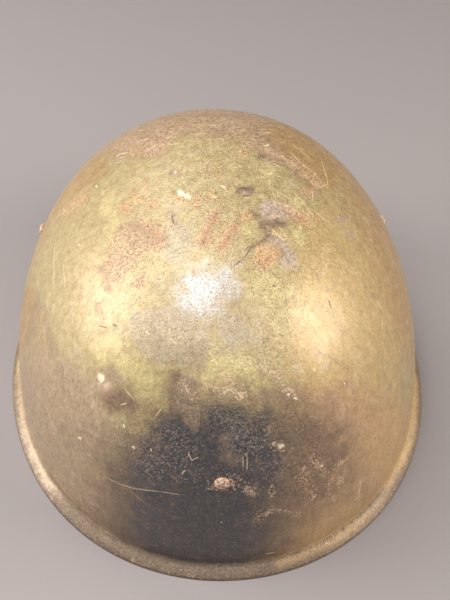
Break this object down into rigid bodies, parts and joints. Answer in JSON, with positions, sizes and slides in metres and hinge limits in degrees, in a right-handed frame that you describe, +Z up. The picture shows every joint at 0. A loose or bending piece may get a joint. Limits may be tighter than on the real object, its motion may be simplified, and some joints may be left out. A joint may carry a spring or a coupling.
{
  "type": "steel combat helmet",
  "caption": "Bare pressed-steel helmet shell: a smooth oval dome with a narrow flared rim and small domed rivets, worn over the head and standing on its rim.",
  "frame": {"origin": "middle of the rim's outline, on the surface that the rim stands on", "axes": "+Z up through the crown, -Y towards the front, +X towards the wearer's left"},
  "size_m": [0.2444, 0.2816, 0.1585],
  "materials": {
    "worn_olive_paint": "worn semi-gloss olive paint over rusting steel",
    "rusted_rivet_steel": "bare steel gone to dull rust"
  },
  "bodies": {
    "root": {"shell": "worn_olive_paint", "rivet_front": "rusted_rivet_steel", "rivet_left": "rusted_rivet_steel", "rivet_right": "rusted_rivet_steel"}
  },
  "joints": []
}
